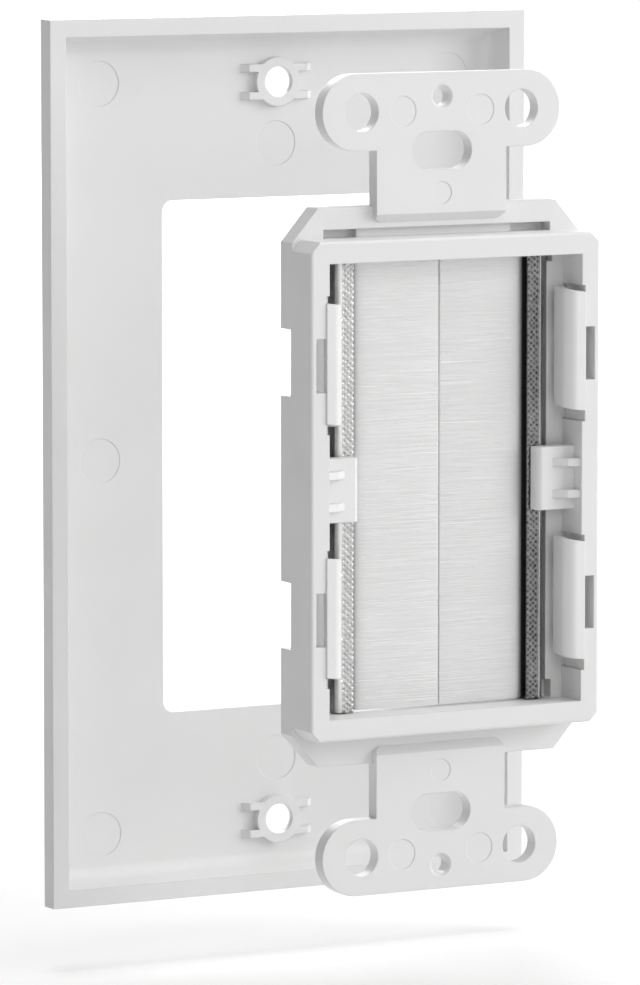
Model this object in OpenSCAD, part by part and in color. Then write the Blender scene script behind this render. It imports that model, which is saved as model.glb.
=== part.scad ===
// Brush wall plate for one gang: a cover plate and, drawn back behind it, the
// insert that holds two facing brush strips.
// Millimetres. X runs to the right as seen from behind, Z is up, and the plate
// faces +Y. The origin is at the middle of the plate, on the plane of the wall.

/* [Cover plate] */
// Width of the plate
plate_w = 69.85; // [66:0.05:80]
// Height of the plate
plate_h = 114.3; // [112:0.1:130]
// Depth of the plate from the wall to its front face
plate_t = 6.4; // [6:0.1:8]
// Thickness of the plate's front wall
skin_t = 2; // [1.6:0.1:2.4]
// Depth of the straight part of the plate's edge
edge_side = 2.6; // [1.5:0.1:4]
// Radius of the rounded front edge
edge_r = 7; // [6:0.5:10]
// Width of the rim that meets the wall
rim_w = 2.25; // [1.8:0.05:3]
// How far the inside of the rim leans in towards the front
rim_lean = 0.8; // [0.2:0.1:1.5]
// Fillet where the rim meets the front wall
rim_fillet = 1.8; // [0.5:0.1:3]

/* [Opening and plate screws] */
// Width of the opening
opening_w = 33.3; // [31:0.1:35]
// Height of the opening
opening_h = 66.8; // [65:0.1:68]
// Corner radius of the opening
opening_r = 1.5; // [0.5:0.1:3]
// Distance between the two plate screws
plate_screws = 96.84; // [95:0.02:99]
// Diameter of a plate screw hole
screw_hole_d = 4; // [3.4:0.1:4.4]
// Diameter of the countersink at the front face
sink_d = 7.2; // [6:0.1:8]
// Depth of the countersink
sink_depth = 2.1; // [1:0.1:2.6]
// Diameter of the boss around a screw hole
boss_d = 6.4; // [6:0.1:8]
// Height of the boss and its ribs above the front wall
boss_h = 0.9; // [0.4:0.1:1.2]
// Distance from a boss rib's end to the screw
rib_reach = 5.2; // [4.2:0.1:7]
// Distance between the two ribs beside a boss
rib_pitch = 3.6; // [3:0.1:4.5]
// Thickness of a boss rib
rib_t = 1; // [0.6:0.1:1.4]

/* [Insert frame] */
// How far the insert is drawn back from its seat in the plate
drawn_back = 39.2; // [20:0.1:60]
// Gap all round between the nose and the plate's opening
nose_gap = 0.2; // [0.1:0.05:0.5]
// How far the nose stands in front of the plate
nose_proud = 0.6; // [0:0.1:1.5]
// Corner radius of the nose
nose_r = 1.2; // [0.5:0.1:2]
// Gap between the flange and the back of the plate's front wall
seat_gap = 0.5; // [0.2:0.1:1]
// Width of the open inside of the housing
inside_w = 36.3; // [36:0.1:37.4]
// Height of the open inside of the housing
inside_h = 56.7; // [54:0.1:58]
// Thickness of the housing's side walls
side_wall = 2.62; // [2.2:0.01:3]
// Thickness of the housing's top and bottom walls
end_wall = 2.75; // [2.4:0.05:3.4]
// Depth of the housing behind the wall plane
housing_d = 3.9; // [3.6:0.1:8]
// Cut across each corner of the housing
housing_corner = 1.4; // [0.6:0.1:2]
// Rounding of the housing's rear edge
housing_edge_r = 0.4; // [0.2:0.05:0.6]
// How far the flange stands out past the top and the bottom of the housing
flange_over = 3.85; // [3.4:0.05:4.2]
// Distance of the flange's rear face in front of the wall plane
flange_rear = 1.05; // [0.8:0.05:1.4]
// Width of the cut across each flange corner
flange_cut_w = 3.7; // [2:0.1:5]
// Height of the cut across each flange corner
flange_cut_h = 4.2; // [2:0.1:5]
// Distance of the inner ledge in front of the wall plane
ledge_y = 0.9; // [0.4:0.1:1]
// How far the sides of the bristles' window stand in from the housing's walls
window_in = 5.75; // [5.6:0.05:6.4]
// Thickness of the lip in front of the brush strips
lip_t = 2; // [1.2:0.1:2.6]
// Width of the nose's flat front edge
nose_edge = 1.6; // [1:0.1:2.4]

/* [Ears] */
// Thickness of the ears
ear_t = 1.95; // [1.5:0.05:2.4]
// Length of an ear bar
ear_w = 34; // [33:0.1:40]
// Height of an ear bar
ear_h = 9.56; // [8.6:0.02:11]
// Distance between the middles of the two ear bars
ear_pitch = 93.34; // [93:0.02:96]
// Width of the stem that carries an ear bar
stem_w = 18.6; // [14:0.1:20]
// How far the stem's foot laps over the end of the flange
stem_lap = 1.05; // [0.6:0.05:1.4]
// Corner radius of the stem's foot
stem_r = 1.3; // [0.6:0.1:2]
// Distance between the two large holes of one ear
end_hole_pitch = 22.9; // [21:0.1:25]
// Diameter of the large holes
end_hole_d = 4.8; // [4:0.1:6]
// Distance between the two mounting slots
slot_pitch = 83.34; // [82.4:0.02:84]
// Height of a mounting slot
slot_h = 4.8; // [4:0.1:5]
// Length of a mounting slot
slot_w = 8.6; // [6:0.1:10]
// Diameter of the threaded hole for a plate screw
pilot_d = 2.4; // [2:0.1:2.8]
// Diameter of the lead-in of that hole
pilot_sink_d = 3; // [2.9:0.1:3.6]

/* [Clips] */
// Distance of the leaf clips' windows from the middle of the insert
leaf_z = 15.8; // [14.6:0.1:17]
// How far each leaf clip sits above the middle of its window
leaf_up = 0.25; // [0:0.05:0.4]
// Length of a leaf clip
leaf_l = 14.8; // [10:0.1:16]
// How far a leaf clip reaches into the housing
leaf_reach = 2.6; // [2:0.05:3]
// Depth of a leaf clip from its rear face to its free edge
leaf_drop = 3.55; // [2.4:0.05:4]
// Outer radius of a leaf clip's bend
leaf_bend = 1.5; // [1.2:0.05:1.8]
// Thickness of a leaf clip
leaf_t = 0.9; // [0.6:0.05:1.1]
// How far a leaf clip stands out behind the housing's rear face
leaf_proud = 0.2; // [0.05:0.05:0.4]
// Slant of a leaf clip's ends, as rise for each millimetre away from its root
leaf_slant = 0.11; // [0:0.01:0.2]
// How far a leaf clip's root runs into the wall
leaf_root = 0.3; // [0.1:0.05:0.5]
// Depth of the relief in the wall around a leaf clip
relief_d = 0.45; // [0.1:0.05:0.6]
// Length of the relief past each end of a leaf clip
relief_past = 1.2; // [0.5:0.1:2]
// Width of the window in the rear face beside a leaf clip
side_window_w = 1.4; // [1:0.1:1.6]
// Height of that window
side_window_h = 6.7; // [4:0.1:8]
// Height of the notch in the flange's side
notch_h = 8.4; // [7:0.1:10]
// Distance of the notch's rear end in front of the wall plane
notch_y = 1.3; // [1.2:0.05:1.8]
// Depth of the notch in from the flange's side
notch_in = 2.1; // [1.6:0.1:2.4]
// Height of a centre hook
hook_h = 8; // [6:0.1:10]
// Thickness of a centre hook
hook_t = 1.9; // [1.2:0.1:2.4]
// How far a centre hook reaches over its brush strip
hook_over = 2.1; // [0.8:0.1:2.3]
// Rounding of the centre hook's end
hook_r = 0.7; // [0.3:0.05:1]
// Distance between the two ribs of a centre hook
hook_rib_pitch = 4; // [3:0.1:5]
// Thickness of a centre hook's ribs
hook_rib_t = 1; // [0.6:0.1:1.4]
// Step from the housing's rear face down to the top of these ribs
hook_rib_step = 0.2; // [0:0.05:0.4]
// Gap between a centre hook and its brush strip
hook_gap = 0.1; // [0.05:0.05:0.3]

/* [Groove behind the housing] */
// Height of the groove between the housing and the stem
groove_h = 1.1; // [0.6:0.1:1.3]
// Length of the groove
groove_w = 32.6; // [26:0.1:34]
// Depth of the groove's middle
groove_d = 1; // [0.6:0.1:1.4]
// Depth of the groove's ends
groove_end_d = 2; // [1.6:0.1:2.4]
// Length of each deep end
groove_end_w = 5.2; // [3:0.1:7]

/* [Brush strips] */
// Thickness of a steel channel
channel_t = 2.4; // [2:0.1:2.6]
// Width of a steel channel
channel_w = 2.5; // [2.2:0.05:2.8]
// Thickness of the channel's sheet
sheet_t = 0.5; // [0.3:0.05:0.55]
// Outer radius of the channel's bends
channel_r = 0.75; // [0.6:0.05:1]
// Gap between a brush strip and the ends of its groove
strip_gap = 0.15; // [0.05:0.05:0.3]
// Gap beside a brush strip, out to the edge of the inner ledge
side_gap = 0.75; // [0.1:0.05:1.2]
// Width of the pocket at each end of that gap
pocket_w = 0.8; // [0.4:0.1:1]
// Height of the pocket at its lower end
pocket_h = 2.3; // [1:0.1:3]
// Height of the pocket at its upper end
pocket_top_h = 1.1; // [0.6:0.1:3]
// Distance of a pocket from the housing's end wall
pocket_end = 0.05; // [0:0.05:1]
// Diameter of the core wire
wire_d = 0.7; // [0.4:0.1:0.8]
// Thickness of the bristles
bristle_t = 1.1; // [0.8:0.05:1.2]
// Gap between the two rows of bristle ends
bristle_gap = 0.12; // [0.1:0.02:1]
// Distance from one tuft of bristles to the next
tuft_pitch = 1; // [0.8:0.1:2]
// Depth of the grooves between the tufts
tuft_d = 0.12; // [0.05:0.01:0.2]

/* [Mould marks] */
// Depth of the round marks left by the ejector pins
mark_d = 0.05; // [0.03:0.01:0.3]
// Diameter of the marks on the plate
plate_mark_d = 5.8; // [4:0.1:7]
// Sideways distance of the plate's outer marks from its middle
plate_mark_x = 25.8; // [24:0.1:27]
// Height of the plate's upper and lower marks above and below its middle
plate_mark_z = 48.7; // [46:0.1:50]
// Height of the plate's marks between screw and opening
plate_mark_mid_z = 40.4; // [38:0.1:42]
// Diameter of the larger marks on an ear
ear_mark_d = 3.8; // [3:0.1:4]
// Sideways distance of the larger marks from the middle of an ear
ear_mark_x = 5.6; // [5:0.1:6.4]
// Diameter of the mark on a stem
stem_mark_d = 2.8; // [2:0.1:3]
// Distance from the stem's foot to the middle of the stem's mark
stem_mark_up = 2.5; // [2.1:0.1:2.9]

/* [Hidden] */

$fn = 64;
// How far a cut runs past the face that it opens
past = 1;

recess_d = plate_t - skin_t;
edge_run = sqrt(pow(edge_r, 2) - pow(edge_r - plate_t + edge_side, 2));

housing_w = inside_w + 2 * side_wall;
window_w = inside_w - 2 * window_in;
housing_h = inside_h + 2 * end_wall;
flange_h = housing_h + 2 * flange_over;
flange_front = recess_d - seat_gap;
stem_foot = flange_h / 2 - stem_lap;
stem_mark_z = stem_foot + stem_mark_up;
nose_w = opening_w - 2 * nose_gap;
nose_h = opening_h - 2 * nose_gap;
nose_front = plate_t + nose_proud;
groove_floor = channel_t + hook_gap;
lip_front = groove_floor + lip_t;

leaf_rear = -housing_d - leaf_proud;
strip_h = inside_h - 2 * strip_gap;
channel_mouth = window_w / 2 + hook_gap;
channel_back = channel_mouth + channel_w;
strip_seat_w = 2 * (channel_back + side_gap);
hook_end = channel_back - hook_over;
wire_x = channel_back - channel_t / 2;
strip_y = channel_t / 2;
bead_r = strip_y - sheet_t - strip_gap / 2;
tufts = round(strip_h / tuft_pitch);

// Draws its children in the plane of the wall and gives them depth from y0 to y1
module face_prism(y0, y1) {
    translate([0, y1, 0])
        rotate([90, 0, 0])
            linear_extrude(y1 - y0)
                children();
}

// Carries a profile drawn across the width along the height
module along_z(length) {
    linear_extrude(length, center = true)
        children();
}

// Carries a profile drawn across the height along the width
module along_x(length) {
    rotate([0, 90, 0])
        linear_extrude(length, center = true)
            children();
}

// Repeats its children in all four quarters of the front view
module quarters() {
    for (sx = [0, 1])
        for (sz = [0, 1])
            mirror([sx, 0, 0])
                mirror([0, 0, sz])
                    children();
}

// Repeats its children at the top and at the bottom
module both_ends() {
    for (sz = [0, 1])
        mirror([0, 0, sz])
            children();
}

// Repeats its children on the left and on the right
module both_sides() {
    for (sx = [0, 1])
        mirror([sx, 0, 0])
            children();
}

module rounded_rectangle(w, h, r) {
    square([w - 2 * r, h], center = true);
    square([w, h - 2 * r], center = true);
    for (sx = [-1, 1])
        for (sy = [-1, 1])
            translate([sx * (w / 2 - r), sy * (h / 2 - r)])
                circle(r);
}

module cut_rectangle(w, h, cut_w, cut_h) {
    polygon([
        [w / 2, h / 2 - cut_h], [w / 2 - cut_w, h / 2],
        [cut_w - w / 2, h / 2], [-w / 2, h / 2 - cut_h],
        [-w / 2, cut_h - h / 2], [cut_w - w / 2, -h / 2],
        [w / 2 - cut_w, -h / 2], [w / 2, cut_h - h / 2]
    ]);
}

// A rounded corner's waste: what lies outside a circle in the corner square
module corner_waste(r, reach_x, reach_y) {
    difference() {
        translate([0, r - reach_y])
            square([reach_x + past, reach_y + past]);
        circle(r);
    }
}

// Profile of the plate across one of its sides, with the front edges rounded
module edge_profile(w) {
    difference() {
        translate([-w / 2, 0])
            square([w, plate_t]);
        for (s = [0, 1])
            mirror([s, 0])
                translate([w / 2 - edge_run, plate_t - edge_r])
                    corner_waste(edge_r, edge_run, plate_t - edge_side, $fn = 128);
    }
}

function arc(centre, r, from, to, steps) =
    [for (i = [0:steps]) centre + r * [cos(from + (to - from) * i / steps), sin(from + (to - from) * i / steps)]];

// Profile of the recess behind the plate, with leaning sides and filleted corners
module recess_profile(w) {
    lean = atan2(rim_lean, recess_d);
    fillet_in = rim_fillet * (1 / cos(lean) - tan(lean)) + rim_lean;
    corner = arc([w / 2 - fillet_in, recess_d - rim_fillet], rim_fillet, lean, 90, 8);
    half = concat([[w / 2, -past], [w / 2, 0]], corner);
    mirrored = [for (i = [len(half) - 1:-1:0]) [-half[i][0], half[i][1]]];
    polygon(concat(half, mirrored));
}

module plate_blank() {
    intersection() {
        along_z(plate_h + past)
            edge_profile(plate_w);
        along_x(plate_w + past)
            edge_profile(plate_h);
    }
}

module plate_recess() {
    intersection() {
        along_z(plate_h)
            recess_profile(plate_w - 2 * rim_w);
        along_x(plate_w)
            recess_profile(plate_h - 2 * rim_w);
    }
}

// One boss with its two pairs of ribs, at the origin, on the back of the front wall
module screw_boss() {
    rear = recess_d - boss_h;
    root = boss_h + past / 2;
    face_prism(rear, rear + root)
        circle(d = boss_d);
    for (s = [-1, 1])
        translate([0, rear, s * rib_pitch / 2])
            linear_extrude(rib_t, center = true)
                polygon([
                    [-rib_reach - past / 2, root], [boss_h - rib_reach, 0],
                    [rib_reach - boss_h, 0], [rib_reach + past / 2, root]
                ]);
}

module screw_hole() {
    flare = (sink_d - screw_hole_d) / sink_depth;
    face_prism(0, plate_t + past)
        circle(d = screw_hole_d);
    translate([0, plate_t + past, 0])
        rotate([90, 0, 0])
            cylinder(
                d1 = sink_d + flare * past,
                d2 = screw_hole_d - flare * past / 2,
                h = sink_depth + past * 3 / 2
            );
}

module plate_marks() {
    quarters()
        translate([plate_mark_x, 0, plate_mark_z])
            plate_mark();
    both_sides()
        translate([plate_mark_x, 0, 0])
            plate_mark();
    both_ends()
        translate([0, 0, plate_mark_mid_z])
            plate_mark();
}

module plate_mark() {
    face_prism(recess_d - past, recess_d + mark_d)
        circle(d = plate_mark_d);
}

module wall_plate() {
    color("whitesmoke")
        difference() {
            union() {
                difference() {
                    plate_blank();
                    plate_recess();
                }
                both_ends()
                    translate([0, 0, plate_screws / 2])
                        screw_boss();
            }
            face_prism(0, plate_t + past)
                rounded_rectangle(opening_w, opening_h, opening_r);
            both_ends()
                translate([0, 0, plate_screws / 2])
                    screw_hole();
            plate_marks();
        }
}

// Profile of a block from y0 to y1 with rounded edges at y0
module soft_profile(w, y0, y1, r) {
    translate([-w / 2, y0 + r])
        square([w, y1 - y0 - r]);
    translate([r - w / 2, y0])
        square([w - 2 * r, y1 - y0]);
    for (s = [-1, 1])
        translate([s * (w / 2 - r), y0 + r])
            circle(r);
}

module housing_blank() {
    intersection() {
        face_prism(-housing_d - past, flange_front)
            cut_rectangle(housing_w, housing_h, housing_corner, housing_corner);
        along_z(housing_h + past)
            soft_profile(housing_w, -housing_d, flange_front, housing_edge_r);
        along_x(housing_w + past)
            soft_profile(housing_h, -housing_d, flange_front, housing_edge_r);
    }
}

module nose_blank() {
    face_prism(flange_front - past, nose_front)
        rounded_rectangle(nose_w, nose_h, nose_r);
}

// One stem with its sloping foot, above the flange
module stem() {
    foot_end = stem_foot - flange_rear;
    top = ear_pitch / 2;
    intersection() {
        face_prism(-past, ear_t)
            translate([0, (foot_end + top) / 2])
                rounded_rectangle(stem_w, top - foot_end, stem_r);
        rotate([90, 0, 90])
            linear_extrude(stem_w + past, center = true)
                polygon([
                    [flange_rear, foot_end], [0, stem_foot], [0, top + past],
                    [ear_t, top + past], [ear_t, foot_end]
                ]);
    }
}

module ear_bar() {
    face_prism(0, ear_t)
        translate([0, ear_pitch / 2])
            rounded_rectangle(ear_w, ear_h, ear_h / 2 - 0.01);
}

module ear_holes() {
    pilot_z = plate_screws / 2;
    sink = (pilot_sink_d - pilot_d) / 2;
    for (s = [-1, 1])
        translate([s * end_hole_pitch / 2, 0, ear_pitch / 2])
            through_ear()
                circle(d = end_hole_d);
    translate([0, 0, pilot_z])
        through_ear()
            circle(d = pilot_d);
    translate([0, sink, pilot_z])
        rotate([90, 0, 0])
            cylinder(d1 = pilot_d, d2 = pilot_sink_d + 2 * past, h = sink + past);
    translate([0, 0, slot_pitch / 2])
        through_ear()
            rounded_rectangle(slot_w, slot_h, slot_h / 2 - 0.01);
    for (s = [-1, 1])
        translate([s * ear_mark_x, 0, ear_pitch / 2])
            ear_mark(ear_mark_d);
    translate([0, 0, stem_mark_z])
        ear_mark(stem_mark_d);
}

module through_ear() {
    face_prism(-past, ear_t + past)
        children();
}

module ear_mark(d) {
    face_prism(-past, mark_d)
        circle(d = d);
}

// The open inside: the housing, the seats of the strips, the window, the flared front
module inside_cuts() {
    flare_w = nose_w - 2 * nose_edge;
    flare_h = nose_h - 2 * nose_edge;
    face_prism(-housing_d - past, ledge_y)
        square([inside_w, inside_h], center = true);
    face_prism(0, groove_floor)
        square([strip_seat_w, inside_h], center = true);
    both_sides() {
        pocket(pocket_end - inside_h / 2, pocket_h);
        pocket(inside_h / 2 - pocket_end - pocket_top_h, pocket_top_h);
    }
    face_prism(0, nose_front + past)
        square([window_w, inside_h], center = true);
    intersection() {
        along_z(nose_h)
            flare_profile(window_w, flare_w);
        along_x(nose_w)
            flare_profile(inside_h, flare_h);
    }
}

// A small pocket in the ledge, beside the end of the right-hand strip
module pocket(z0, height) {
    translate([strip_seat_w / 2 - past / 2, ledge_y - past, z0])
        cube([past / 2 + pocket_w, groove_floor - ledge_y + past, height]);
}

module flare_profile(narrow, wide) {
    polygon([
        [-narrow / 2, lip_front], [narrow / 2, lip_front],
        [wide / 2, nose_front], [wide / 2, nose_front + past],
        [-wide / 2, nose_front + past], [-wide / 2, nose_front]
    ]);
}

// The groove that runs behind the flange along the top of the housing
module top_groove() {
    deep_x = groove_w / 2 - groove_end_w;
    groove_z = housing_h / 2;
    translate([-groove_w / 2, flange_rear - past, groove_z])
        cube([groove_w, past + groove_d, groove_h]);
    for (s = [0, 1])
        mirror([s, 0, 0])
            translate([deep_x, flange_rear - past, groove_z])
                cube([groove_end_w, past + groove_end_d, groove_h]);
}

// What is cut from one side wall around one leaf clip, in the upper right quarter
module leaf_cuts() {
    wall = inside_w / 2;
    length = leaf_l + 2 * relief_past;
    translate([wall + relief_d, -housing_d - past, leaf_z - side_window_h / 2])
        cube([side_window_w, housing_d + past + notch_y + 0.01, side_window_h]);
    translate([housing_w / 2 - notch_in, notch_y, leaf_z - notch_h / 2])
        cube([notch_in + past, flange_front - notch_y + past, notch_h]);
    translate([wall - past, -housing_d - past, leaf_z - length / 2])
        cube([relief_d + past, housing_d + past + ledge_y, length]);
}

// One leaf clip in the upper right quarter: a thin lip that bends from the wall into the
// housing. It sits above the middle of its window where up is 1, and below it where up is
// -1; its free edge lies higher than its root where rise is 1.
module leaf(up, rise) {
    root = inside_w / 2 + relief_d;
    middle = leaf_z + up * leaf_up;
    lean = atan(leaf_slant) * rise;
    low_end = middle - leaf_l / 2;
    high_start = leaf_z + side_window_h / 2;
    intersection() {
        translate([root, leaf_rear, middle])
            mirror([1, 0, 0])
                linear_extrude(2 * leaf_l, center = true)
                    leaf_profile();
        translate([root, leaf_rear, middle])
            rotate([lean, lean, 0])
                cube([4 * leaf_drop, 4 * leaf_drop, leaf_l], center = true);
    }
    leaf_foot(low_end + leaf_root, leaf_z - side_window_h / 2 - low_end - leaf_root);
    leaf_foot(high_start, middle + leaf_l / 2 - high_start - leaf_root);
}

// What joins a leaf clip's root to the wall, from z0 up
module leaf_foot(z0, height) {
    translate([inside_w / 2 + relief_d - leaf_root, leaf_rear + leaf_proud + 0.05, z0])
        cube([2 * leaf_root, leaf_t - leaf_proud - 0.05, height]);
}

// Section through a leaf clip, from its root inwards and from its rear face forwards
module leaf_profile() {
    inner = leaf_bend - leaf_t;
    centre = [leaf_reach - leaf_bend, leaf_bend];
    polygon(concat(
        [[0, 0]], arc(centre, leaf_bend, -90, 0, 12), [[leaf_reach, leaf_drop]],
        [[leaf_reach - leaf_t, leaf_drop]], arc(centre, inner, 0, -90, 6), [[0, leaf_t]]
    ));
}

// One centre hook on the right: a block over the strip and two ribs up to the rear face
module hook() {
    wall = inside_w / 2;
    near = -hook_gap - hook_t;
    rib_top = hook_rib_step - housing_d;
    difference() {
        translate([hook_end, near, -hook_h / 2])
            cube([wall - hook_end + relief_d, hook_t, hook_h]);
        translate([hook_end + hook_r, near + hook_r, 0])
            linear_extrude(hook_h + past, center = true)
                difference() {
                    translate([-hook_r - past, -hook_r - past])
                        square(hook_r + past);
                    circle(hook_r);
                }
    }
    translate([wall - relief_d, near, -hook_h / 2])
        cube([2 * relief_d, hook_t + hook_gap, hook_h]);
    for (s = [-1, 1])
        translate([0, 0, s * hook_rib_pitch / 2])
            linear_extrude(hook_rib_t, center = true)
                polygon([
                    [channel_back, near + hook_r], [channel_back, near],
                    [(channel_back + wall) / 2, (near + rib_top) / 2 - hook_r / 2],
                    [wall + relief_d, rib_top], [wall + relief_d, near + hook_r]
                ]);
}

module insert_body() {
    color("white")
        translate([0, -drawn_back, 0]) {
            difference() {
                union() {
                    housing_blank();
                    face_prism(flange_rear, flange_front)
                        cut_rectangle(housing_w, flange_h, flange_cut_w, flange_cut_h);
                    nose_blank();
                    both_ends() {
                        stem();
                        ear_bar();
                    }
                }
                inside_cuts();
                both_ends()
                    ear_holes();
                top_groove();
                quarters()
                    leaf_cuts();
            }
            for (sx = [0, 1])
                for (sz = [0, 1])
                    mirror([sx, 0, 0])
                        mirror([0, 0, sz])
                            leaf(1 - 2 * sz, (1 - 2 * sx) * (1 - 2 * sz));
            both_sides()
                hook();
        }
}

// Profile of a right-hand steel channel, open towards the middle
module channel_profile() {
    difference() {
        channel_outline(channel_back, channel_t, channel_r, channel_mouth);
        channel_outline(channel_back - sheet_t, channel_t - 2 * sheet_t,
            channel_r - sheet_t, channel_mouth - past);
    }
}

module channel_outline(back, thick, r, mouth) {
    translate([mouth, strip_y - thick / 2])
        square([back - mouth - r, thick]);
    translate([mouth, strip_y - thick / 2 + r])
        square([back - mouth, thick - 2 * r]);
    for (s = [-1, 1])
        translate([back - r, strip_y + s * (thick / 2 - r)])
            circle(r);
}

module channel() {
    color("silver")
        translate([0, -drawn_back, 0])
            along_z(strip_h)
                channel_profile();
}

// Section through one row of bristles: one low ridge for each tuft
module tuft_section() {
    pitch = strip_h / tufts;
    low = bristle_t / 2 - tuft_d;
    high = bristle_t / 2;
    ridge = [for (i = [0:tufts - 1])
        each [[(i + 0.1) * pitch, low], [(i + 0.35) * pitch, high], [(i + 0.65) * pitch, high],
            [(i + 0.9) * pitch, low]]];
    back = [for (i = [len(ridge) - 1:-1:0]) [ridge[i][0], -ridge[i][1]]];
    translate([-strip_h / 2, 0])
        polygon(concat(ridge, back));
}

// Bristles of the right-hand strip: a bead folded round the wire, and the free row
module bristles() {
    free_from = bristle_gap / 2;
    color("ghostwhite")
        translate([0, strip_y - drawn_back, 0])
            difference() {
                union() {
                    translate([(free_from + wire_x) / 2, 0, 0])
                        along_x(wire_x - free_from)
                            tuft_section();
                    translate([wire_x, 0, 0])
                        cylinder(r = bead_r, h = strip_h - 2 * strip_gap, center = true);
                }
                translate([wire_x, 0, 0])
                    cylinder(d = wire_d + strip_gap / 3, h = strip_h + past, center = true);
            }
}

module core_wire() {
    color("gray")
        translate([wire_x, strip_y - drawn_back, 0])
            cylinder(d = wire_d, h = strip_h, center = true);
}

wall_plate();
insert_body();
mirror([1, 0, 0]) channel();  // channel_left
channel();  // channel_right
mirror([1, 0, 0]) bristles();  // bristles_left
bristles();  // bristles_right
mirror([1, 0, 0]) core_wire();  // core_wire_left
core_wire();  // core_wire_right
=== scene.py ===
import math

import bpy
import numpy as np
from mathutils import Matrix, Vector


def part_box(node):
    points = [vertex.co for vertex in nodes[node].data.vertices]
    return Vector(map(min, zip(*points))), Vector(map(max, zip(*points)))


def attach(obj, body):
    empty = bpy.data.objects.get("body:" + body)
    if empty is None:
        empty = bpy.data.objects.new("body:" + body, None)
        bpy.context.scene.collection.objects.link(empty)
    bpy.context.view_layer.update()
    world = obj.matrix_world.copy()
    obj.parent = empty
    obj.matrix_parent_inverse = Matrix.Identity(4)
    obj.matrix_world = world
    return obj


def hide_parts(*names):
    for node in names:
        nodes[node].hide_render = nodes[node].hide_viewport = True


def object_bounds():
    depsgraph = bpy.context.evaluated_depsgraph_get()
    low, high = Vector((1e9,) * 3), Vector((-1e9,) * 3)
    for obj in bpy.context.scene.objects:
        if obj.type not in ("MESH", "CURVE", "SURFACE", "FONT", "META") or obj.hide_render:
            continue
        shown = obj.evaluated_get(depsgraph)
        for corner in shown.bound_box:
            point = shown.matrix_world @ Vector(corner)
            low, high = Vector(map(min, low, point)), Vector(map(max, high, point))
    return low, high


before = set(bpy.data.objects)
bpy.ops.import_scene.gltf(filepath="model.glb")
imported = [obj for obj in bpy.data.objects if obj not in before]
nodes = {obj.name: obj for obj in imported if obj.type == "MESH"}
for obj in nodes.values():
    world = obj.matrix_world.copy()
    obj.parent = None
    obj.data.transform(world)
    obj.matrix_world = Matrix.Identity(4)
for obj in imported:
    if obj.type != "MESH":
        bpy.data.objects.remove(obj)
cad_lo, cad_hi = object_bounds()

MM = 0.001


def mm(node):
    """A node's lowest and highest corner in millimetres."""
    lo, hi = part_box(node)
    return [v / MM for v in lo], [v / MM for v in hi]


# Camera, at the photograph's viewing angle

YAW, PITCH = math.radians(28.81), math.radians(6.23)
TARGET = Vector((0.0042, 0.0, -0.0052))
CAMERA_DISTANCE = 0.8973
LENS, SENSOR = 250.98, 36
CLIP_START, CLIP_END = 0.01, 50


def place(name, data, direction, distance):
    """A camera or lamp that faces the target from the given direction."""
    obj = bpy.data.objects.new(name, data)
    bpy.context.scene.collection.objects.link(obj)
    obj.location = TARGET + direction * distance
    obj.rotation_mode = "QUATERNION"
    obj.rotation_quaternion = direction.to_track_quat("Z", "Y")
    return obj


back = Vector((-math.sin(YAW) * math.cos(PITCH), -math.cos(YAW) * math.cos(PITCH), math.sin(PITCH)))
cam_data = bpy.data.cameras.new("camera")
cam_data.lens = LENS
cam_data.sensor_width = SENSOR
cam_data.sensor_fit = "AUTO"
cam_data.clip_start, cam_data.clip_end = CLIP_START, CLIP_END
camera = place("camera", cam_data, back, CAMERA_DISTANCE)
bpy.context.scene.camera = camera
bpy.context.scene.view_settings.view_transform = "Standard"


# Shader node helpers

NOISE_ROUGHNESS = 0.55


class Tree:
    """Short names for making and joining shader nodes."""

    def __init__(self, tree):
        self.tree = tree
        tree.nodes.clear()

    def add(self, kind, **inputs):
        node = self.tree.nodes.new(kind)
        for key, value in inputs.items():
            self.put(node, key, value)
        return node

    def put(self, node, key, value):
        """Sets or links an input, given by its name or, as i0, i1 and so on, by its number."""
        numbered = key[0] == "i" and key[1:].isdigit()
        socket = node.inputs[int(key[1:]) if numbered else key.replace("_", " ")]
        if isinstance(value, bpy.types.NodeSocket):
            self.tree.links.new(value, socket)
        else:
            socket.default_value = value

    def noise(self, vector, scale, detail):
        node = self.add("ShaderNodeTexNoise", Vector=vector, Scale=scale, Detail=detail, Roughness=NOISE_ROUGHNESS)
        return node.outputs["Fac"]

    def remap(self, value, lo, hi, from_lo=0.0, from_hi=1.0):
        """Takes from_lo to from_hi over to lo to hi."""
        return self.add("ShaderNodeMapRange", Value=value, i1=from_lo, i2=from_hi, i3=lo, i4=hi).outputs[0]

    def math(self, kind, a, b):
        node = self.add("ShaderNodeMath", i0=a, i1=b)
        node.operation = kind
        return node.outputs[0]

    def blend(self, factor, a, b):
        node = self.add("ShaderNodeMix")
        node.data_type = "RGBA"
        self.put(node, "i0", factor)
        self.put(node, "i6", a)
        self.put(node, "i7", b)
        return node.outputs[2]

    def scaled(self, vector, scale):
        node = self.add("ShaderNodeMapping", Vector=vector)
        node.inputs["Scale"].default_value = scale
        return node.outputs[0]

    def moved(self, vector, offset):
        node = self.add("ShaderNodeMapping", Vector=vector)
        node.inputs["Location"].default_value = offset
        return node.outputs[0]

    def attribute(self, name):
        node = self.add("ShaderNodeAttribute")
        node.attribute_name = name
        return node.outputs["Fac"]

    def bump(self, height, strength, distance, **more):
        return self.add("ShaderNodeBump", Height=height, Strength=strength, Distance=distance, **more).outputs[0]

    def seen(self):
        """1 for what the camera, a reflection or glass sees, and 0 for light."""
        path = self.add("ShaderNodeLightPath")
        mirrored = self.math("MAXIMUM", path.outputs["Is Camera Ray"], path.outputs["Is Glossy Ray"])
        return path, self.math("MAXIMUM", mirrored, path.outputs["Is Transmission Ray"])


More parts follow.
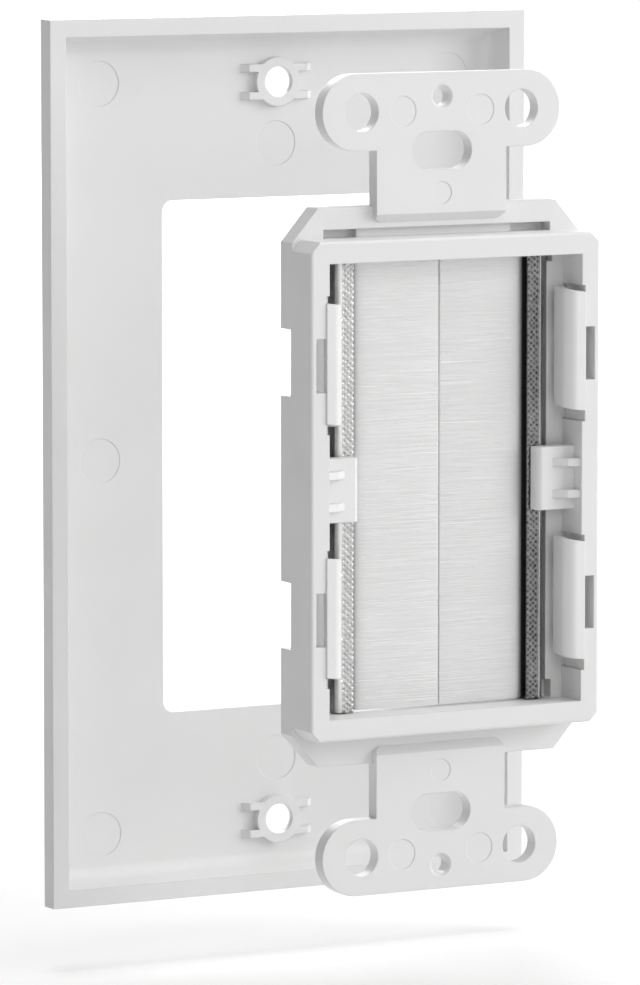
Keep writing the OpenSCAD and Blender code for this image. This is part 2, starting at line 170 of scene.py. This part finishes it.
def material(name):
    """A material with a Principled shader, ready for its inputs."""
    made = bpy.data.materials.new(name)
    made.use_nodes = True
    t = Tree(made.node_tree)
    out = t.add("ShaderNodeOutputMaterial")
    shader = t.add("ShaderNodeBsdfPrincipled")
    t.tree.links.new(shader.outputs[0], out.inputs[0])
    where = t.add("ShaderNodeTexCoord").outputs["Object"]
    return made, t, shader, where


def grey(v, warm=0.0):
    return (v * (1 + warm), v, v * (1 - warm), 1.0)


# Materials. The noise scales are in cells per metre, and the bump distances in metres.

CLOUDS, GLOSS, WAVES, GRAIN = 55, 160, 240, 1900
DRAWN, SPANGLE = (6000, 6000, 90), 1500
STRANDS, STREAKS = (120, 5200, 5200), (60, 300, 420)
SOFT_EDGE = 0.00018
WAVE_BUMP, FINE_BUMP = 0.00004, 0.00001
PLASTIC_IOR, NYLON_IOR = 1.46, 1.53
# painted shade: the near-black grey that the filaments turn to in the channel's mouth
PAINTED_SHADE_GREY = 0.02
# painted highlight: the grey of the steel's near fold
FOLD_HIGHLIGHT_GREY = 0.5


def plastic(name, value, seed):
    """Satin white moulding: faint flow marks, fine grain, softened edges."""
    made, t, shader, where = material(name)
    where = t.moved(where, (seed, seed * 2.0, seed * 3.0))
    shade = t.remap(t.noise(where, CLOUDS, 3), 0.0, 1.0, 0.3, 0.7)
    t.put(shader, "Base Color", t.blend(shade, grey(value - 0.012, 0.004), grey(value + 0.012, -0.002)))
    t.put(shader, "Roughness", t.remap(t.noise(where, GLOSS, 4), 0.36, 0.5, 0.3, 0.7))
    shader.inputs["IOR"].default_value = PLASTIC_IOR
    soft = t.add("ShaderNodeBevel", Radius=SOFT_EDGE)
    soft.samples = 4
    wavy = t.bump(t.noise(where, WAVES, 2), 0.12, WAVE_BUMP, Normal=soft.outputs[0])
    t.put(shader, "Normal", t.bump(t.noise(where, GRAIN, 2), 0.1, FINE_BUMP, Normal=wavy))
    return made


def steel(name, value, rough, pit=1.0):
    """Bright zinc on folded sheet, drawn along the strip, with cloudy spangle, a painted highlight on the near fold and
    painted shade in the knurl pits.
    """
    made, t, shader, where = material(name)
    drawn = t.noise(t.scaled(where, DRAWN), 1, 2)
    spangle = t.remap(t.noise(where, SPANGLE, 3), 0.0, 1.0, 0.35, 0.65)
    tone = t.blend(spangle, grey(value * 0.84, 0.005), grey(value * 1.1, 0.005))
    # painted highlight: the near bend of the fold is painted lighter
    tone = t.blend(t.attribute("painted_fold_highlight"), tone, grey(min(FOLD_HIGHLIGHT_GREY, value * 2.0), 0.005))
    # painted shade: the knurl pits are painted darker, much more so on the right strip
    t.put(shader, "Base Color", t.blend(t.attribute("pit"), tone, grey(value * pit, 0.01)))
    shader.inputs["Metallic"].default_value = 1.0
    t.put(shader, "Roughness", t.remap(drawn, rough - 0.07, rough + 0.1, 0.3, 0.7))
    t.put(shader, "Normal", t.bump(drawn, 0.25, FINE_BUMP))
    return made


def nylon(name, value):
    """Fine white filaments, each a little lighter or darker than its neighbours, with painted shade near the channel's
    mouth, stronger on the right strip.
    """
    made, t, shader, where = material(name)
    strand = t.noise(t.scaled(where, STRANDS), 1, 1)
    streak = t.remap(t.noise(t.scaled(where, STREAKS), 1, 2), 0.0, 0.35, 0.35, 0.75)
    darker = grey(value - 0.025, 0.004)
    tone = t.blend(t.remap(strand, 0.0, 1.0, 0.3, 0.7), darker, grey(value + 0.01, 0.0))
    tone = t.blend(streak, tone, darker)
    # painted shade: filaments and core fade to near black towards the channel's mouth
    t.put(shader, "Base Color", t.blend(t.attribute("deep"), tone, grey(PAINTED_SHADE_GREY)))
    t.put(shader, "Roughness", t.remap(strand, 0.45, 0.6))
    shader.inputs["IOR"].default_value = NYLON_IOR
    return made


plate_plastic = plastic("plate_plastic", 0.80, 0.13)
insert_plastic = plastic("insert_plastic", 0.80, 0.41)
# a lit and a shaded copy of one steel: the right strip's darker grey and darker pits are painted shade
channel_steel = {
    -1: steel("channel_steel_left_lit_copy", 0.37, 0.34, 0.6),
    1: steel("channel_steel_right_painted_shade", 0.17, 0.3, 0.12),
}
wire_steel = steel("wire_steel", 0.42, 0.32)
bristle_nylon = nylon("bristle_nylon", 0.985)


def dress(obj, made):
    obj.data.materials.clear()
    obj.data.materials.append(made)


dress(nodes["wall_plate"], plate_plastic)
dress(nodes["insert_body"], insert_plastic)
dress(nodes["core_wire_left"], wire_steel)
dress(nodes["core_wire_right"], wire_steel)


def piece(name, points, faces, attributes, made, node):
    """A smooth piece from points in millimetres, which stands for a CAD node."""
    mesh = bpy.data.meshes.new(name)
    mesh.from_pydata([tuple(p) for p in np.asarray(points) * MM], [], [tuple(map(int, f)) for f in faces])
    mesh.update()
    for polygon in mesh.polygons:
        polygon.use_smooth = True
    obj = bpy.data.objects.new(name, mesh)
    bpy.context.scene.collection.objects.link(obj)
    dress(obj, made)
    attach(obj, "root")
    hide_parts(node)
    for key, values in attributes.items():
        layer = mesh.attributes.new(key, "FLOAT", "POINT")
        layer.data.foreach_set("value", values)
    return obj


# Steel channels, in millimetres: the sheet, the outer radius of its bends, and the steps of the mesh

SHEET = 0.5
BEND = 0.75
ALONG = 0.1
LEG_STEPS, OUTER_STEPS, INNER_STEPS = 16, 9, 5
EDGE_ROUND = 0.12

# Knurl marks: their pitch, the rows' distances from the leg's edge, and each mark's half sizes, reach and depth

KNURL = 0.74
KNURL_ROWS = (0.16, 0.57, 0.98, 1.39)
MARK_ALONG, MARK_ACROSS = 0.17, 0.15
MARK_REACH = 0.5
MARK_DEPTH = 0.1
MARK_SIZES = (0.65, 1.2)
MARK_LIMIT = 1.3
PITCH_STRAY, ROW_STRAY = 0.05, 0.04


def channel(side, seed):
    """A folded steel channel whose legs are knurled where they grip the bristles."""
    node = "channel_left" if side < 0 else "channel_right"
    lo, hi = mm(node)
    mouth, outer = sorted((abs(lo[0]), abs(hi[0])))
    y0, y1 = lo[1], hi[1]
    rng = np.random.default_rng(seed)
    z = np.linspace(lo[2], hi[2], int((hi[2] - lo[2]) / ALONG) + 1)
    teeth = int((hi[2] - lo[2]) / KNURL) + 3
    marks = []
    for row, u in enumerate(KNURL_ROWS):
        at = lo[2] + (np.arange(teeth) - 0.5 + 0.5 * (row % 2)) * KNURL + rng.normal(0, PITCH_STRAY, teeth)
        marks.append((at, u + rng.normal(0, ROW_STRAY, teeth), rng.uniform(*MARK_SIZES, teeth)))

    def sink(u):
        """How far the leg is pressed in at the distance u from its edge, along z."""
        total = np.zeros_like(z)
        for at, across, size in marks:
            for a, c, h in zip(at, across, size):
                near = np.abs(z - a) < MARK_REACH
                total[near] += h * np.exp(-((z[near] - a) / MARK_ALONG) ** 2 - ((u - c) / MARK_ACROSS) ** 2)
        return np.minimum(total, MARK_LIMIT)

    legs = np.linspace(0, outer - mouth - BEND, LEG_STEPS)
    pits = [sink(u) for u in legs]
    columns = []
    fold_highlights = []

    def add(x, y, pit=0.0, painted_fold_highlight=0.0):
        columns.append((np.full_like(z, x), y + 0 * z, pit + 0 * z))
        fold_highlights.append(painted_fold_highlight)

    def turn(radius, first, last, steps, near):
        """Points round one bend of the fold, between two angles."""
        for a in np.radians(np.linspace(first, last, steps)):
            y = y0 + BEND - radius * math.sin(a) if near else y1 - BEND - radius * math.sin(a)
            # the near bend carries a painted highlight, the far one none
            add(outer - BEND + radius * math.cos(a), y, 0.0, math.sin(a) if near else 0.0)

    def leg(distances, sunk, y, inward):
        """The outside of one leg, with its rounded edge and its marks."""
        for u, pit in zip(distances, sunk):
            ease = EDGE_ROUND * max(0.0, 1 - u / EDGE_ROUND) ** 2
            add(mouth + u, y + inward * (ease + MARK_DEPTH * pit), pit)

    leg(legs, pits, y0, 1)
    turn(BEND, 90, 0, OUTER_STEPS, True)
    turn(BEND, 0, -90, OUTER_STEPS, False)
    leg(legs[::-1], pits[::-1], y1, -1)
    for u in legs[::3]:
        add(mouth + u, y1 - SHEET)
    turn(BEND - SHEET, -90, 0, INNER_STEPS, False)
    turn(BEND - SHEET, 0, 90, INNER_STEPS, True)
    for u in legs[::-3]:
        add(mouth + u, y0 + SHEET)
    n, m = len(z), len(columns)
    points = np.empty((n * m, 3))
    pit_values = np.empty(n * m)
    for j, (x, y, pit) in enumerate(columns):
        points[j::m, 0] = side * x
        points[j::m, 1] = y
        points[j::m, 2] = z
        pit_values[j::m] = np.clip(pit, 0, 1)
    faces = []
    for i in range(n - 1):
        for j in range(m):
            k = (j + 1) % m
            quad = (i * m + j, i * m + k, (i + 1) * m + k, (i + 1) * m + j)
            faces.append(quad if side > 0 else quad[::-1])
    ring = list(range(m))
    faces.append(ring[::-1] if side > 0 else ring)
    ring = [(n - 1) * m + j for j in range(m)]
    faces.append(ring if side > 0 else ring[::-1])
    attributes = {"pit": pit_values, "painted_fold_highlight": np.tile(fold_highlights, n)}
    piece("knurled_" + node, points, faces, attributes, channel_steel[side], node)


# Bristles, in millimetres. Along one filament: distance from the middle of the part, depth of the row's middle,
# half of its thickness, and how much painted shade darkens the filaments at that place on the left and on the right
# strip, stronger and reaching further on the right. The last two distances are from the filament's own end.

ROW = (
    (13.75, 0.05, 0.20, 1.0, 1.0),
    (13.20, 0.18, 0.17, 1.0, 1.0),
    (12.75, 0.24, 0.18, 1.0, 1.0),
    (12.35, 0.24, 0.22, 1.0, 1.0),
    (12.15, 0.20, 0.28, 0.4, 0.60),
    (11.70, 0.10, 0.38, 0.0, 0.30),
    (11.20, 0.03, 0.45, 0.0, 0.10),
    (10.20, 0.00, 0.48, 0.0, 0.0),
    (6.00, 0.00, 0.48, 0.0, 0.0),
    (0.15, 0.00, 0.48, 0.0, 0.0),
    (0.00, 0.00, 0.48, 0.0, 0.0),
)
FROM_END = 1
FILAMENTS = 4000
RADIUS = 0.07
POINTED = 0.8
ROW_HALF = 0.55
ROW_ENDS = 0.1
START_STRAY, TIP_STRAY, DRIFT, WAVE = 0.01, 0.05, 0.07, 0.009
LAYERS = (0.95, 1.0)
CORE_TIP = 0.08


def bristles(side, seed):
    """One row of nylon filaments, pinched in the channel's mouth and open towards the middle."""
    node = "bristles_left" if side < 0 else "bristles_right"
    lo, hi = mm(node)
    tip, root = sorted((abs(lo[0]), abs(hi[0])))
    middle = (lo[1] + hi[1]) / 2
    first_z, last_z = lo[2] + ROW_ENDS, hi[2] - ROW_ENDS
    rng = np.random.default_rng(seed)
    count = FILAMENTS
    rings = len(ROW)
    z0 = np.linspace(first_z, last_z, count) + rng.uniform(-START_STRAY, START_STRAY, count)
    layer = np.where(np.arange(count) % 2, 1.0, -1.0) * rng.uniform(*LAYERS, count)
    drift = rng.normal(0, DRIFT, count)
    lean = 0.08 * np.sin(z0 / 3.1) + 0.04 * np.sin(z0 / 1.27 + 1.0)
    ends = tip + np.abs(rng.normal(0.0, TIP_STRAY, count))
    wave = rng.normal(0, WAVE, (count, rings))
    points = np.empty((count, rings, 3, 3))
    deep = np.zeros((count, rings, 3))
    for r, (x, offset, spread, painted_shade_left, painted_shade_right) in enumerate(ROW):
        x = ends + x if x < FROM_END else x + 0 * ends
        f = (root - x) / (root - tip)
        y = middle + offset + layer * spread + wave[:, r] * 0.5 * f
        z = z0 + (drift + lean) * f ** 1.3 + wave[:, r]
        thin = RADIUS * (1.0 if r < rings - 1 else POINTED)
        # painted shade near the channel's mouth, stronger on the right strip
        deep[:, r, :] = painted_shade_left if side < 0 else painted_shade_right
        for k, a in enumerate(np.radians([90, 210, 330])):
            points[:, r, k, 0] = side * x
            points[:, r, k, 1] = y + thin * math.cos(a)
            points[:, r, k, 2] = z + thin * math.sin(a)
    points[..., 1] = np.clip(points[..., 1], middle - ROW_HALF, middle + ROW_HALF)
    points[..., 2] = np.clip(points[..., 2], lo[2], hi[2])
    per = rings * 3
    flat = points.reshape(-1, 3)
    faces = []
    for i in range(count):
        base = i * per
        for r in range(rings - 1):
            for k in range(3):
                a = base + r * 3 + k
                b = base + r * 3 + (k + 1) % 3
                quad = (a, b, b + 3, a + 3)
                faces.append(quad if side < 0 else quad[::-1])
        cap = (base + per - 3, base + per - 2, base + per - 1)
        faces.append(cap if side < 0 else cap[::-1])
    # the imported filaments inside, as one sheet that follows the same curve
    first = len(flat)
    core = []
    core_deep = []
    for x, offset, spread, painted_shade_left, painted_shade_right in ROW:
        x = tip + CORE_TIP + x if x < FROM_END else x
        for y in (middle + offset - spread, middle + offset + spread):
            for z in (first_z, last_z):
                core.append((side * x, y, z))
                # the core sheet carries the same painted shade
                core_deep.append(painted_shade_left if side < 0 else painted_shade_right)
    flat = np.vstack([flat, np.array(core)])
    for c in range(rings - 1):
        a = first + c * 4
        for q in ((0, 1, 5, 4), (3, 2, 6, 7), (0, 4, 6, 2), (1, 3, 7, 5)):
            quad = tuple(a + v for v in q)
            faces.append(quad if side > 0 else quad[::-1])
    last = first + 4 * (rings - 1)
    faces.append(tuple(first + v for v in ((0, 2, 3, 1) if side > 0 else (1, 3, 2, 0))))
    faces.append(tuple(last + v for v in ((0, 1, 3, 2) if side > 0 else (2, 3, 1, 0))))
    attributes = {"deep": np.concatenate([deep.ravel(), core_deep])}
    piece("filaments_" + node, flat, faces, attributes, bristle_nylon, node)


SEEDS = {-1: 11, 1: 23}
BRISTLE_SEED = 100

for s, seed in SEEDS.items():
    channel(s, seed)
    bristles(s, seed + BRISTLE_SEED)


# Floor: it keeps the object's shadow, and what is seen of it turns to plain white away from the object

FLOOR_SIZE = 8
FLOOR_DROP = 0.0085
FLOOR_COLOUR, FLOOR_SEEN_COLOUR = 0.8, 0.65
GLOW_MIRRORED, GLOW_SEEN, GLOW_FAR = 0.6, 0.37, 1.0
GLOW_FROM, GLOW_TO = 0.12, 0.4

bpy.ops.mesh.primitive_plane_add(size=FLOOR_SIZE, location=(0, 0, cad_lo[2] - FLOOR_DROP))
floor = bpy.context.object
floor.name = "floor"
made = bpy.data.materials.new("floor")
made.use_nodes = True
t = Tree(made.node_tree)
path, seen = t.seen()
by_camera = path.outputs["Is Camera Ray"]
away = t.add("ShaderNodeVectorMath", i0=t.add("ShaderNodeTexCoord").outputs["Object"])
away.operation = "LENGTH"
near = t.remap(by_camera, GLOW_MIRRORED, GLOW_SEEN)
bright = t.remap(away.outputs["Value"], near, GLOW_FAR, GLOW_FROM, GLOW_TO)
paint = t.add("ShaderNodeBsdfDiffuse", Color=t.blend(by_camera, grey(FLOOR_COLOUR), grey(FLOOR_SEEN_COLOUR)))
glow = t.add("ShaderNodeEmission", Color=grey(1.0), Strength=t.math("MULTIPLY", seen, bright))
both = t.add("ShaderNodeAddShader", i0=paint.outputs[0], i1=glow.outputs[0])
out = t.add("ShaderNodeOutputMaterial")
t.tree.links.new(both.outputs[0], out.inputs[0])
dress(floor, made)


# World: white where it is seen, faint as a light

WORLD_LIGHT, WORLD_SEEN = 0.1, 1.0

world = bpy.data.worlds.new("studio")
bpy.context.scene.world = world
world.use_nodes = True
t = Tree(world.node_tree)
path, seen = t.seen()
sky = t.add("ShaderNodeBackground", Color=grey(1.0), Strength=t.remap(seen, WORLD_LIGHT, WORLD_SEEN))
out = t.add("ShaderNodeOutputWorld")
t.tree.links.new(sky.outputs[0], out.inputs[0])


# Lamps: square soft boxes, each with the direction that it shines from and its power in watts

LAMP_DISTANCE, LAMP_SIZE = 1.6, 0.8
LAMPS = (
    ("key", (-0.12, -0.9, 0.4), 4.0),
    ("rear_right", (0.75, -0.62, 0.3), 7.4),
    ("side", (0.92, -0.35, 0.25), 7.0),
    ("high_right", (0.5, -0.45, 0.8), 4.1),
    ("high_left", (-0.3, -0.45, 0.85), 2.0),
    ("top", (0.0, 0.05, 1.0), 9.5),
    ("front", (0.25, 1.0, 0.5), 12.0),
)

for name, towards, power in LAMPS:
    data = bpy.data.lights.new(name, "AREA")
    data.shape = "SQUARE"
    data.size = LAMP_SIZE
    data.energy = power
    place(name, data, Vector(towards).normalized(), LAMP_DISTANCE)
